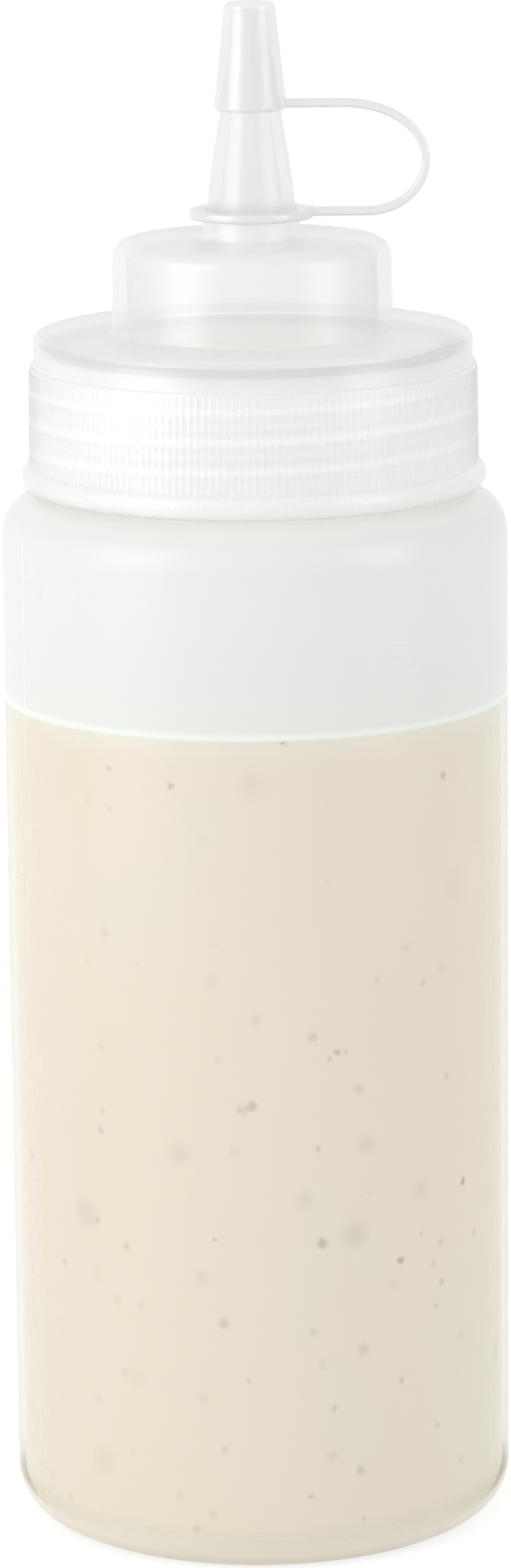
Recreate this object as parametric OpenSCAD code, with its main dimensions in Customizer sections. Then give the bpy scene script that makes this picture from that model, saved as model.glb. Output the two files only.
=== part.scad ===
// Dispensing sauce bottle: a soft bottle with its sauce, a sealing ring, a
// screw-on nozzle cap and a tip cap held by a ring and a strap.
// Millimetres. +Z is up, the origin is the middle of the base, the strap is at +X.

/* [Bottle] */
// Outer diameter of the bottle
body_d = 89; // [84:0.5:95]
// Height of the top of the shoulder
shoulder_h = 186; // [150:1:240]
// Rounding of the shoulder
shoulder_r = 8; // [6:0.5:8]
// Rounding of the base edge
base_r = 8; // [5:0.5:9]
// Wall of the bottle
wall = 1.2; // [0.8:0.1:2]
// Rise of the base's pushed-up middle
pushup_h = 3; // [1.5:0.5:6]
// Diameter of the pushed-up middle at the base
pushup_d = 61; // [50:1:64]
// Height of the sauce above the table
sauce_h = 149.4; // [40:1:170]

/* [Neck and thread] */
// Outer diameter of the neck
neck_d = 70.8; // [66:0.2:71]
// Wall of the neck
neck_wall = 2.4; // [1.8:0.1:3]
// Height of the neck above the shoulder
neck_h = 24.5; // [22:0.5:32]
// Rise of the thread in one turn
thread_pitch = 5.2; // [4.8:0.1:6]
// Turns of the bottle's thread
neck_turns = 2.5; // [1.5:0.25:3]
// Turns of the cap's thread
cap_turns = 2; // [1:0.25:2.5]
// Height of each thread's ridge
thread_depth = 1.5; // [1:0.1:1.8]
// Width of the ridge at its root
thread_foot = 2.6; // [2:0.1:2.8]
// Width of the ridge at its crest
thread_crest = 1.1; // [0.8:0.1:1.4]
// Distance from the rim down to the thread's last turn
thread_drop = 4.5; // [3:0.5:6]
// Room between the crest of a thread and the wall that it faces
crest_gap = 0.6; // [0.4:0.1:0.8]
// Room left under the bottle's thread by the tightened cap
flank_gap = 0.4; // [0.3:0.05:0.5]

/* [Sealing ring] */
// Thickness of the sealing ring
seal_t = 0.9; // [0.6:0.1:2]
// Distance from the sealing ring to the faces that press it
seal_gap = 0.05; // [0.02:0.01:0.1]

/* [Screw cap] */
// Wall of the collar at its top
collar_wall = 1.55; // [1.2:0.05:2.5]
// Growth of the collar's radius from its top to its foot
collar_draft = 0.3; // [0:0.1:0.8]
// Gap between the collar's foot and the shoulder
foot_gap = 0.4; // [0.3:0.1:1]
// Radius of the bead round the collar's foot
bead_r = 2.4; // [1.5:0.1:3]
// How far the bead stands out from the collar
bead_out = 1.35; // [0.5:0.05:1.4]
// Step in from the collar to the flange
flange_step = 0.6; // [0.3:0.1:1]
// Height of the flange
flange_h = 5.8; // [4:0.1:8]
// Rounding of the flange's edge
flange_r = 1.5; // [0.5:0.1:1.8]
// Thickness of the cap's flat tops
plate_t = 2.2; // [1.5:0.1:3]
// Diameter of the turret at its foot
turret_d = 49.2; // [44:0.2:54]
// Height of the turret above the flange
turret_h = 16.2; // [12:0.2:24]
// Draft of the turret's radius
turret_draft = 0.34; // [0:0.02:0.6]
// Rounding of the turret's top edge
turret_r = 3.2; // [1:0.1:3.4]
// Wall of the turret
turret_wall = 2.7; // [2:0.1:3.2]

/* [Nozzle] */
// Diameter of the ledge that carries the tether ring
ledge_d = 17; // [16.4:0.2:19]
// Height of the ledge above the turret
ledge_h = 3.4; // [2.4:0.1:5]
// Diameter of the nozzle where it leaves the ledge
nozzle_d = 15.6; // [15:0.1:15.8]
// Diameter of the nozzle at its tip
nozzle_tip_d = 6.2; // [5.4:0.1:6.4]
// Height of the nozzle above the ledge
nozzle_h = 31.5; // [28:0.5:36]
// Height of the spread foot of the nozzle
nozzle_foot_h = 10.7; // [6:0.1:14]
// Wall of the nozzle at its foot
nozzle_wall = 2; // [1.5:0.1:2.5]
// Diameter of the opening in the tip
orifice_d = 3.6; // [2.4:0.1:3.8]

/* [Tether ring and strap] */
// Outer diameter of the tether ring
ring_d = 21.6; // [20:0.2:24]
// Thickness of the tether ring
ring_t = 1.6; // [1.2:0.1:2]
// Room between the tether ring and the nozzle
ring_gap = 0.12; // [0.1:0.01:0.2]
// Distance of the strap's root from the nozzle's axis
root_x = 13; // [12.6:0.1:14]
// Straight length of the strap before its loop
strap_run = 7.25; // [5:0.25:9]
// Thickness of the strap
strap_t = 1.4; // [1.2:0.05:1.5]
// Width of the strap
strap_w = 3; // [2.4:0.1:5]
// Cut across the strap at each of its two hinges
hinge_gap = 0.12; // [0.1:0.01:0.15]

/* [Tip cap] */
// Height of the tip cap
tip_h = 18.6; // [17.6:0.2:20]
// Diameter of the tip cap at its foot
tip_foot_d = 12.5; // [12.3:0.1:13.2]
// Diameter of the tip cap at its top
tip_top_d = 8.8; // [8.6:0.1:9.6]
// Rounding of the tip cap's top edge
tip_top_r = 0.9; // [0.4:0.1:1.2]
// Rounding of the tip cap's foot
tip_foot_r = 1.1; // [0.6:0.1:1.2]
// Thickness of the tip cap's closed end
tip_end_t = 1.5; // [1:0.1:2]
// Room between the tip cap and the nozzle
tip_gap = 0.33; // [0.28:0.01:0.36]
// Diameter of the plug that stops the orifice
plug_d = 2.8; // [2:0.1:2.9]

/* [Hidden] */
$fn = 96;
THREAD_STEPS = 36;
THREAD_TAPER = 4;
SINK = 0.4;
EPS = 0.01;
// The nozzle and the cap are one moulding, cut into two solids by this much
MOULD_GAP = 0.03;

// Lengths of the eight arcs of the strap's loop, each turning by the same angle
ARCS = [4.5, 3.9, 3.6, 3.0, 2.8, 3.4, 5.2, 7.9];
ARC_TURN = 180 / len(ARCS);
// Angle by which neighbouring arcs run into each other
ARC_LAP = 0.05;
// How many of the arcs lie below the strap's upper hinge
LOWER_ARCS = 5;

body_r = body_d / 2;
neck_r = neck_d / 2;
neck_bore_r = neck_r - neck_wall;
rim_z = shoulder_h + neck_h;
seal_z = rim_z + seal_gap;
plate_z = seal_z + seal_t + seal_gap;

// The bottle's thread and the cap's thread follow one helix
neck_thread_z = rim_z - thread_drop - neck_turns * thread_pitch;
thread_half = (thread_foot + thread_crest) / 4;
cap_thread_z = neck_thread_z - 2 * thread_half - flank_gap;

skirt_bore_r = neck_r + thread_depth + crest_gap;
collar_r = skirt_bore_r + collar_wall;
collar_foot_r = collar_r + collar_draft;
foot_z = shoulder_h + foot_gap;
flange_top_z = plate_z + plate_t;
flange_z = flange_top_z - flange_h;
flange_rad = collar_r - flange_step;
turret_foot_r = turret_d / 2;
turret_top_r = turret_foot_r - turret_draft;
turret_top_z = flange_top_z + turret_h;

ledge_z = turret_top_z + ledge_h;
nozzle_foot_r = nozzle_d / 2;
nozzle_tip_r = nozzle_tip_d / 2;
nozzle_top_z = ledge_z + nozzle_h;
nozzle_knee_z = ledge_z + nozzle_foot_h;
nozzle_knee_r = nozzle_foot_r - 1.2;
bore_foot_r = nozzle_foot_r - nozzle_wall;
tip_chamfer = 0.4;
snap_r = 0.45;

ring_z = ledge_z + 0.1;
ring_bore_r = nozzle_foot_r + ring_gap;
strap_z = ring_z + ring_t / 2 + 0.2;
half_t = strap_t / 2;

// The strap's corners: its root, the end of its straight run, then each arc's end
function chord(i) = ARCS[i] * sin(ARC_TURN / 2) / (ARC_TURN / 2 * PI / 180);
function heading(i) = ARC_TURN * (i + 0.5);
function arc_radius(i) = ARCS[i] / (ARC_TURN * PI / 180);
function bend_x(i) = i == 0 ? root_x
    : i == 1 ? root_x + strap_run
    : bend_x(i - 1) + chord(i - 2) * cos(heading(i - 2));
function bend_z(i) = i < 2 ? strap_z : bend_z(i - 1) + chord(i - 2) * sin(heading(i - 2));
BENDS = len(ARCS) + 1;
FOLD = LOWER_ARCS + 1;

// The tip cap hangs on the end of the strap's last arc
upper_z = bend_z(BENDS);
tip_foot_z = upper_z - half_t - 0.36;
tip_top_z = tip_foot_z + tip_h;
tip_end_z = tip_top_z - tip_end_t;
cone_run = nozzle_top_z - nozzle_knee_z;
function nozzle_at(z) = nozzle_tip_r + (nozzle_knee_r - nozzle_tip_r) * (nozzle_top_z - z) / cone_run;
tip_mouth_r = nozzle_at(tip_foot_z) + tip_gap;
tip_end_r = nozzle_tip_r + tip_gap;

// Flat shapes that are spun about Z
module span(r, z0, z1) {
    translate([0, z0]) square([r, z1 - z0]);
}

module round_edge(r, z, edge) {
    translate([r - edge, z]) circle(r = edge);
}

// A spun body with a rounded lower and upper edge
module barrel_shape(r, z0, z1, low_edge, top_edge) {
    span(r, z0 + low_edge, z1 - top_edge);
    span(r - low_edge, z0, z0 + low_edge + EPS);
    span(r - top_edge, z1 - top_edge - EPS, z1);
    round_edge(r, z0 + low_edge, low_edge);
    round_edge(r, z1 - top_edge, top_edge);
}

// The space inside the bottle, drawn in by a gap
module cavity(gap) {
    t = wall + gap;
    difference() {
        rotate_extrude() barrel_shape(body_r - t, t, shoulder_h - t, base_r - t, shoulder_r - t);
        translate([0, 0, -EPS])
            cylinder(r1 = pushup_d / 2 + t, r2 = pushup_d / 2 - 6 + t, h = pushup_h + t + EPS);
    }
}

// A ridge that winds up a cylinder, fading in and out at its ends.
// side is 1 for a ridge on the outside of a post, -1 for one inside a bore.
module winding_ridge(r, depth, z, turns, side) {
    n = round(turns * THREAD_STEPS);
    function grow(i) = min(1, (i + 0.5) / THREAD_TAPER, (n - i + 0.5) / THREAD_TAPER);
    function ring(i) = let (
        a = 360 * i / THREAD_STEPS,
        low = z + thread_pitch * i / THREAD_STEPS,
        crest = r + side * depth * grow(i),
        root = r - side * SINK,
        half_foot = thread_foot / 2 * (0.4 + 0.6 * grow(i)),
        half_crest = thread_crest / 2 * (0.4 + 0.6 * grow(i))
    ) [for (p = [[root, -half_foot], [crest, -half_crest], [crest, half_crest], [root, half_foot]])
        [p[0] * cos(a), p[0] * sin(a), low + p[1]]];
    points = [for (i = [0 : n]) each ring(i)];
    skin = [for (i = [0 : n - 1], k = [0 : 3])
        let (a = 4 * i + k, b = 4 * i + (k + 1) % 4)
        each [[a, a + 4, b], [b, a + 4, b + 4]]];
    ends = [[0, 1, 2], [0, 2, 3], [4 * n, 4 * n + 2, 4 * n + 1], [4 * n, 4 * n + 3, 4 * n + 2]];
    faces = concat(skin, ends);
    polyhedron(points, side < 0 ? faces : [for (f = faces) [f[0], f[2], f[1]]]);
}

module bottle_body() {
    color("gainsboro", 0.5) difference() {
        union() {
            rotate_extrude() barrel_shape(body_r, 0, shoulder_h, base_r, shoulder_r);
            translate([0, 0, shoulder_h - wall]) cylinder(r = neck_r, h = neck_h + wall);
            winding_ridge(neck_r, thread_depth, neck_thread_z, neck_turns, 1);
        }
        cavity(0);
        translate([0, 0, shoulder_h - wall - 1]) cylinder(r = neck_bore_r, h = neck_h + wall + 2);
        translate([0, 0, -EPS])
            cylinder(r1 = pushup_d / 2, r2 = pushup_d / 2 - 6, h = pushup_h + EPS);
    }
}

module sauce() {
    color("wheat") intersection() {
        cavity(0.03);
        cylinder(r = body_r, h = sauce_h);
    }
}

module cap_seal() {
    color("silver") translate([0, 0, seal_z]) difference() {
        cylinder(r = skirt_bore_r - 0.3, h = seal_t);
        translate([0, 0, -1]) cylinder(r = neck_bore_r, h = seal_t + 2);
    }
}

module nozzle_outside() {
    foot = turret_top_z + MOULD_GAP;
    polygon([[0, foot], [ledge_d / 2, foot], [ledge_d / 2, ledge_z],
        [nozzle_foot_r, ledge_z], [nozzle_foot_r - 0.45, ledge_z + nozzle_foot_h / 2],
        [nozzle_knee_r, nozzle_knee_z], [nozzle_tip_r, nozzle_top_z - tip_chamfer],
        [nozzle_tip_r - tip_chamfer, nozzle_top_z], [0, nozzle_top_z]]);
}

module nozzle_bore() {
    polygon([[0, turret_top_z - plate_t - 1], [bore_foot_r, turret_top_z - plate_t - 1],
        [bore_foot_r, ledge_z], [orifice_d / 2, nozzle_top_z], [orifice_d / 2, nozzle_top_z + 1],
        [0, nozzle_top_z + 1]]);
}

// The ledge and the tapered nozzle, with a bead that keeps the tether ring down
module nozzle() {
    color("gainsboro", 0.6) rotate_extrude() difference() {
        union() {
            nozzle_outside();
            translate([nozzle_foot_r - 0.25, ring_z + ring_t + 0.1 + snap_r]) circle(r = snap_r);
        }
        nozzle_bore();
    }
}

module screw_cap() {
    collar_z = foot_z + bead_r;
    color("gainsboro", 0.6) difference() {
        union() {
            difference() {
                rotate_extrude() {
                    polygon([[0, foot_z], [collar_foot_r, foot_z], [collar_foot_r, collar_z],
                        [collar_r, flange_z], [flange_rad, flange_z + flange_step / 2],
                        [0, flange_z + flange_step / 2]]);
                    intersection() {
                        translate([collar_foot_r + bead_out - bead_r, collar_z - 0.2]) circle(r = bead_r);
                        span(body_r, foot_z, flange_z);
                    }
                    barrel_shape(flange_rad, foot_z + 5, flange_top_z, flange_r, flange_r);
                    polygon([[0, flange_top_z - 1], [turret_foot_r, flange_top_z - 1],
                        [turret_foot_r, flange_top_z], [turret_top_r, turret_top_z - turret_r],
                        [turret_top_r - turret_r, turret_top_z], [0, turret_top_z]]);
                    round_edge(turret_top_r, turret_top_z - turret_r, turret_r);
                }
                translate([0, 0, foot_z - 1]) cylinder(r = skirt_bore_r, h = plate_z - foot_z + 1);
            }
            winding_ridge(skirt_bore_r, thread_depth, cap_thread_z, cap_turns, -1);
        }
        rotate_extrude() {
            barrel_shape(turret_foot_r - turret_wall, plate_z - 3, turret_top_z - plate_t, 1, 1);
            nozzle_bore();
        }
    }
}

// A flat strap standing on its edge: its side view is drawn in X and Z
module across(width) {
    rotate([90, 0, 0]) translate([0, 0, -width / 2]) linear_extrude(width) children();
}

// A cut straight across the strap at one of its corners
module cut_across(i, gap) {
    translate([bend_x(i), bend_z(i)]) rotate(i < 2 ? 0 : ARC_TURN * (i - 1))
        square([gap, 3 * strap_t], center = true);
}

// One arc of the strap's loop, from corner i to corner i + 1
module strap_arc(i) {
    r = arc_radius(i - 1);
    start = ARC_TURN * (i - 1);
    translate([bend_x(i) - r * sin(start), bend_z(i) + r * cos(start)]) intersection() {
        difference() {
            circle(r = r + half_t);
            circle(r = r - half_t);
        }
        rotate(start - 90 - ARC_LAP) polygon([[0, 0], [3 * r, 0],
            [3 * r * cos(ARC_TURN + 2 * ARC_LAP), 3 * r * sin(ARC_TURN + 2 * ARC_LAP)]]);
    }
}

module tether_ring() {
    color("gainsboro", 0.6) difference() {
        union() {
            rotate_extrude() barrel_shape(ring_d / 2, ring_z, ring_z + ring_t, 0.4, 0.4);
            across(strap_w) difference() {
                translate([ring_d / 2 - 1, strap_z - half_t]) square([root_x - ring_d / 2 + 1, strap_t]);
                cut_across(0, hinge_gap);
            }
            across(strap_w + 1)
                translate([ring_d / 2 - 1, strap_z - half_t]) square([1.3, strap_t + 0.3]);
        }
        translate([0, 0, ring_z - 1]) cylinder(r = ring_bore_r, h = ring_t + 3);
    }
}

// The straight run and the outer half of the loop, hinged to the ring at the root
module strap_lower() {
    color("gainsboro", 0.6) across(strap_w) difference() {
        union() {
            translate([root_x, strap_z - half_t]) square([strap_run + EPS, strap_t]);
            for (i = [1 : LOWER_ARCS]) strap_arc(i);
        }
        cut_across(0, hinge_gap);
        cut_across(FOLD, hinge_gap);
    }
}

// The rest of the loop, moulded on to the tip cap and hinged to the lower part
module strap_upper() {
    color("gainsboro", 0.6) across(strap_w) difference() {
        for (i = [FOLD : len(ARCS)]) strap_arc(i);
        cut_across(FOLD, hinge_gap);
        cut_across(BENDS, hinge_gap / 2);
    }
}

module tip_cap() {
    foot_r = tip_foot_d / 2;
    top_r = tip_top_d / 2;
    plug_r = plug_d / 2;
    color("gainsboro", 0.6) difference() {
        union() {
            rotate_extrude() {
                polygon([[0, tip_foot_z], [foot_r - tip_foot_r, tip_foot_z], [foot_r, tip_foot_z + tip_foot_r],
                    [top_r, tip_top_z - tip_top_r], [top_r - tip_top_r, tip_top_z], [0, tip_top_z]]);
                round_edge(foot_r, tip_foot_z + tip_foot_r, tip_foot_r);
                round_edge(top_r, tip_top_z - tip_top_r, tip_top_r);
            }
            across(strap_w) difference() {
                translate([foot_r - 0.6, upper_z - half_t]) square([bend_x(BENDS) - foot_r + 0.6, strap_t]);
                cut_across(BENDS, hinge_gap / 2);
            }
        }
        rotate_extrude() difference() {
            polygon([[0, tip_foot_z - 1], [tip_mouth_r, tip_foot_z - 1], [tip_mouth_r, tip_foot_z],
                [tip_end_r, nozzle_top_z], [tip_end_r - 0.3, tip_end_z], [0, tip_end_z]]);
            polygon([[0, nozzle_top_z - 0.1], [plug_r - 0.3, nozzle_top_z - 0.1],
                [plug_r + 0.2, tip_end_z + 1], [0, tip_end_z + 1]]);
        }
    }
}

bottle_body();
sauce();
cap_seal();
screw_cap();
nozzle();
tether_ring();
strap_lower();
strap_upper();
tip_cap();
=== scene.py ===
import math

import bmesh
import bpy
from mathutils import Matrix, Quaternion, Vector


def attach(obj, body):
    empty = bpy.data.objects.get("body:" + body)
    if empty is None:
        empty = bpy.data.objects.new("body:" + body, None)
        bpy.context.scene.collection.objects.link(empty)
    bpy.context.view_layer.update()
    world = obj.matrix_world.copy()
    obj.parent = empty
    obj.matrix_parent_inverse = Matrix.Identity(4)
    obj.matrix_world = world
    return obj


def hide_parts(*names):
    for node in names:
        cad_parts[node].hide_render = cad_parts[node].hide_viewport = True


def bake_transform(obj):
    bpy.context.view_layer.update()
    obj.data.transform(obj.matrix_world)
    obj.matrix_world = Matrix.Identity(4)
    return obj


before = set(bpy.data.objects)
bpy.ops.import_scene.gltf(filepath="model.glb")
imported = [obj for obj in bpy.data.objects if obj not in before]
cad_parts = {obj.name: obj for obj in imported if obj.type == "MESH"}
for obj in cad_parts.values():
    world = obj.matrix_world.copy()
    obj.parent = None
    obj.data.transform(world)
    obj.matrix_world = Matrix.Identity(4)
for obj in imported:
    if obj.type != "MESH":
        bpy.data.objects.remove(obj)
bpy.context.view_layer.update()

bl_info = {
    "name": "Dispensing Sauce Bottle",
    "version": (1, 0, 0),
    "blender": (4, 5, 0),
    "location": "View3D > Sidebar > Sauce Bottle",
    "description": "Builds a soft sauce bottle with a screw-on nozzle cap and a tethered tip cap",
    "category": "Add Mesh",
}

MM = 0.001
ORIGIN = (0, 0, 0)
UP = (0, 0, 1)

# Points closer together than this become one
WELD = 0.002 * MM
# Largest share of a side that the rounding of its corner takes up
ROUNDING_SHARE = 0.98

# The base in mm: height and edge of its pushed-up middle, and the inner edge of the ring it stands on
PUSH_UP = 3
PUSH_UP_RADIUS, FOOT_RADIUS = 24.5, 30.5
INNER_PUSH_UP_RADIUS, INNER_FOOT_RADIUS = 25.7, 30
# Gap between the sauce and the wall, in mm
SAUCE_GAP = 0.03

# A thread's ridge in mm: its depth, half the heights of its foot and crest, and how far it is sunk in
THREAD_DEPTH = 1.5
THREAD_FOOT, THREAD_CREST = 1.3, 0.55
THREAD_ROOT = 0.25
# Its steps in a turn, the share of its depth left at its ends, and how many times its depth it would
# gain from there in a whole turn
THREAD_STEPS = 48
THREAD_END, THREAD_GAIN = 0.12, 9
NECK_TURNS, CAP_TURNS = 2.5, 2
# How far the neck's thread ends below the rim, and how far the cap's starts below the neck's, in mm
THREAD_BELOW_RIM = 4.5
CAP_THREAD_BELOW = 2.25

# Outlines that are turned about the axis: radius, height and rounding of each corner, in mm
SEAL_CORNERS = ((33, 210.55, 0.2), (37.2, 210.55, 0.2), (37.2, 211.45, 0.2), (33, 211.45, 0.2))
COLLAR_BORE = 37.5
CAP_OUTSIDE = (
    (1.8, 264.8, 0.0), (3.1, 264.8, 0.45), (6.6, 244, 10), (7.35, 238.65, 8), (7.57, 236, 0.1),
    (8.05, 235.55, 0.3), (7.62, 235.1, 0.1), (7.8, 233.3, 0.25), (8.5, 233.3, 0.35), (8.5, 229.9, 0.5),
    (24.26, 229.9, 3.2), (24.6, 213.7, 0.5), (38.45, 213.7, 1.5), (38.45, 208.2, 0.2),
    (39.05, 207.9, 0.12), (39.055, 207.6, 0.0),
)
CAP_INSIDE = (
    (39.26, 186.4, 0.0), (COLLAR_BORE, 186.4, 0.3), (COLLAR_BORE, 211.5, 0.1), (21.9, 211.5, 0.5),
    (21.9, 227.7, 1), (5.8, 227.7, 0.6), (5.8, 233.3, 2), (1.8, 264.8, 0),
)
LOOP_CORNERS = ((7.92, 233.4, 0.35), (10.8, 233.4, 0.45), (10.8, 235, 0.45), (7.92, 235, 0.35))
TIP_CAP_CORNERS = (
    (0, 270.8, 0), (4.31, 270.8, 0.9), (6.37, 252.2, 1.1), (5.55, 252.2, 0.3), (5.35, 253.4, 0.1),
    (5.15, 253.75, 0.15), (5.2, 254.1, 0.1), (4.95, 255.6, 0.1), (4.74, 256, 0.15), (4.8, 256.4, 0.1),
    (3.43, 264.8, 0.5), (3.13, 269.3, 0.5), (1.51, 269.3, 0.3), (1.1, 264.7, 0.3), (0, 264.7, 0),
)

# Section of the collar's foot bead: centre and radius in mm, and the angles of its points
BEAD_X, BEAD_Z, BEAD_RADIUS = 38.3, 188.6, 2.4
BEAD_ANGLES = (64.8, 50, 37, 24, 9.6, -5, -20, -35, -50, -66.4)
# The ribs: heights of their ends and of the bead's top, and least radius, in mm
RIBS_FOOT, BEAD_TOP, RIBS_TOP = 187.1, 190.8, 207.65
RIBS_RADIUS = 38.9
# Inset of each rib in mm, the share of its height that is left on the bead, and the upward
# share of a face's normal from which the face carries no rib
RIB_INSET = 0.22
BEAD_RIB_SHARE = 0.2
LEVEL_FACE = 0.97

# The strap's middle line in mm: its height, start in the ring, root, straight run and end at the tip cap
STRAP_Z = 234.4
STRAP_START, STRAP_ROOT, STRAP_RUN, STRAP_END = 10.7, 13, 7.25, 5.9
# Lengths in mm of the eight arcs of the strap's loop; each turns by the same angle
STRAP_ARCS = (4.5, 3.9, 3.6, 3.0, 2.8, 3.4, 5.2, 7.9)
ARC_TURN = math.pi / len(STRAP_ARCS)
# How many of the arcs belong to the lower band, and the steps of an arc and of each straight run
LOWER_ARCS = 3
ARC_STEPS, RUN_STEPS, END_STEPS = 9, 16, 8
# The block that ties the strap to the ring: place, size and rounding, in mm
TAB_PLACE, TAB_SIZE, TAB_EDGE = (10.35, 0, 234.5), (1.5, 3.6, 1.5), 0.4

# Tints of the bottle: just above the sauce, painted light at the shoulder, over the sauce, at the foot
# (the sauce's cream with painted light against the shade there), at the sauce's edge and along the
# parting line
AIR_TINT = (0.82, 0.85, 0.80)
SHOULDER_PAINTED_LIGHT = (0.95, 0.96, 0.90)
WET_TINT = (0.86, 0.85, 0.755)
FOOT_TINT_WITH_PAINTED_LIGHT = (0.87, 0.81, 0.68)
EDGE_TINT = (0.88, 0.92, 0.86)
SEAM_TINT = (0.96, 0.96, 0.96)
# Tints of the screw cap: along its thread, where the plastic is milkier and a highlight is painted,
# on the turret's inner walls and in the nozzle, both painted shade
THREAD_MILK_AND_HIGHLIGHT = (1.0, 1.0, 1.0)
INNER_WALL_SHADE = (0.55, 0.56, 0.56)
NOZZLE_SHADE_TINT = (0.77, 0.773, 0.773)
# Tints of the sauce: in patches and near its top
PATCH_TINT = (0.76, 0.735, 0.61)
TOP_TINT = (0.78, 0.79, 0.70)
# The parting line's angle from the left side towards the front
SEAM_ANGLE = math.radians(25)

# Distance of the flecks from the axis, and how far noise shifts them and frays their edges
FLECK_RADIUS = 43.2 * MM
FRAY = 1.1 * MM
# Small random flecks: cells in a metre, reach in a cell, share of empty cells, and how dark they look
FLECK_LAYERS = ((85, 0.13, 0.45, 0.42), (150, 0.15, 0.6, 0.45), (48, 0.2, 0.4, 0.22))
# Flecks in the sauce: degrees to the right of the front, height, size in mm, and how dark they look
FLECKS = (
    (-72, 117, 0.8, 0.35), (-63, 139, 0.4, 0.4), (-42, 137, 1.0, 0.15), (-38, 114, 1.3, 0.22),
    (-36, 143, 0.7, 0.45), (-36, 136, 0.7, 0.3), (-20, 141, 0.8, 0.6), (-11, 107, 1.6, 0.14),
    (6, 149, 0.7, 0.75), (28, 106, 0.8, 0.2), (36, 111, 1.0, 0.25), (41, 104, 0.8, 0.4),
    (47, 106, 1.3, 0.2), (48, 140, 0.9, 0.6), (-19, 76, 2.4, 0.2), (-6, 77, 1.2, 0.15),
    (-2, 85, 1.1, 0.55), (12, 97, 1.1, 0.35), (16, 93, 0.6, 0.5), (18, 94, 0.7, 0.6),
    (20, 94, 0.6, 0.5), (13, 77, 0.8, 0.4), (25, 77, 2.0, 0.25), (40, 67, 2.0, 0.2),
    (55, 66, 0.8, 0.95), (73, 68, 0.8, 0.3), (24, 68, 0.5, 0.3), (26, 68, 0.5, 0.35),
    (10, 68, 1.8, 0.18), (-33, 58, 0.9, 0.45), (-11, 61, 0.5, 0.6), (14, 60, 1.1, 0.65),
    (22, 61, 3.0, 0.28), (40, 59, 0.5, 0.45), (34, 55, 0.8, 0.85), (44, 53, 0.5, 0.45),
    (-42, 52, 1.6, 0.14), (-14, 54, 1.5, 0.2), (32, 51, 1.1, 0.2), (-36, 48, 1.0, 0.2),
    (-9, 46, 1.1, 0.45), (45, 45, 0.7, 0.35), (24, 40, 1.3, 0.35), (-56, 40, 1.6, 0.12),
    (-70, 38, 1.8, 0.12), (54, 38, 1.2, 0.2), (14, 38, 1.1, 0.2), (-34, 35, 1.0, 0.2),
    (34, 33, 0.8, 0.45), (-14, 32, 1.2, 0.2), (76, 30, 0.9, 0.3), (-42, 29, 1.0, 0.2),
    (-9, 23, 0.8, 0.35), (45, 23, 0.8, 0.35), (16, 21, 1.3, 0.25), (23, 18, 1.0, 0.45),
    (11, 14, 0.7, 0.5), (-20, 14, 0.9, 0.2), (54, 15, 0.9, 0.3), (-12, 11, 1.0, 0.25),
    (-16, 8, 0.9, 0.35), (-2, 6, 0.8, 0.35),
)

# Colour inputs and result of a Mix node, by number, because its sockets share their names
MIX_FIRST, MIX_SECOND, MIX_RESULT = 6, 7, 2

# The lamps, in metres: place and size of each, and the point that both face
LEFT_LAMP = ((-0.87, -0.55, 0.52), (0.7, 0.9))
RIGHT_LAMP = ((0.94, -0.5, 0.52), (0.55, 0.85))
LAMP_AIM = Vector((0, 0, 0.16))
# The camera: width of its sensor in mm, nearest and furthest that it sees in metres
SENSOR_WIDTH = 36
SIGHT = 0.01, 60
# Clear surfaces that a ray passes before it stops
CLEAR_SURFACES = 32
FLOOR_SIZE = 14
FLOOR_COLOUR = (0.86, 0.86, 0.86, 1)
FLOOR_GLOW = 1.45


def length_property(name, description, default, precision=4):
    """A length, given in mm and kept in metres"""
    return bpy.props.FloatProperty(
        name=name, description=description, default=default * MM, unit="LENGTH", precision=precision)


def colour_property(name, description, default):
    """A surface colour"""
    return bpy.props.FloatVectorProperty(
        name=name, description=description, subtype="COLOR", default=default)


class SauceBottleSizes(bpy.types.PropertyGroup):
    """Sizes of the bottle and of the sauce in it"""

    radius: length_property("Radius", "Outer radius of the bottle", 44.5)
    shoulder: length_property("Shoulder height", "Height of the top of the shoulder", 186)
    rounding: length_property("Rounding", "Rounding of the shoulder and of the base", 8)
    wall: length_property("Wall", "Wall of the bottle", 1.2)
    neck_radius: length_property("Neck radius", "Outer radius of the neck", 35.4)
    neck_bore: length_property("Neck bore", "Inner radius of the neck", 33)
    rim: length_property("Rim height", "Height of the neck's rim", 210.5)
    pitch: length_property("Thread pitch", "Rise of the thread in one turn", 5.2)
    sauce_level: length_property("Sauce level", "Height of the sauce above the table", 149.4)


class SauceCapSizes(bpy.types.PropertyGroup):
    """Sizes of the screw cap's ribs and of the strap"""

    ribs: bpy.props.IntProperty(
        name="Ribs", description="Number of upright ribs round the collar", default=196, min=60, max=260)
    rib_depth: length_property("Rib depth", "How far a rib stands out", 0.18, 5)
    strap_width: length_property("Strap width", "Width of the strap", 3)
    strap_thickness: length_property("Strap thickness", "Thickness of the strap", 1.4)
    strap_edge: length_property("Strap edge", "Rounding of the strap's edges", 0.45, 5)


class SauceBottleColours(bpy.types.PropertyGroup):
    """Colours of the bottle, the cap and the sauce"""

    bottle: colour_property("Bottle", "Colour of the soft bottle", (0.855, 0.855, 0.855))
    cap: colour_property("Cap", "Colour of the screw cap, tether and tip cap", (0.90, 0.90, 0.90))
    # The sealing ring's dark grey is partly painted shade, standing in for the shadow in the gap under
    # the flange
    seal: colour_property("Sealing ring", "Colour of the sealing ring", (0.42, 0.43, 0.43))
    sauce: colour_property("Sauce", "Colour of the sauce", (0.785, 0.684, 0.548))
    sauce_light: colour_property(
        "Pale sauce", "Colour of the palest parts of the sauce", (0.82, 0.74, 0.61))
    fleck: colour_property("Flecks", "Colour of the flecks of herbs and spice", (0.25, 0.20, 0.13))


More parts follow.
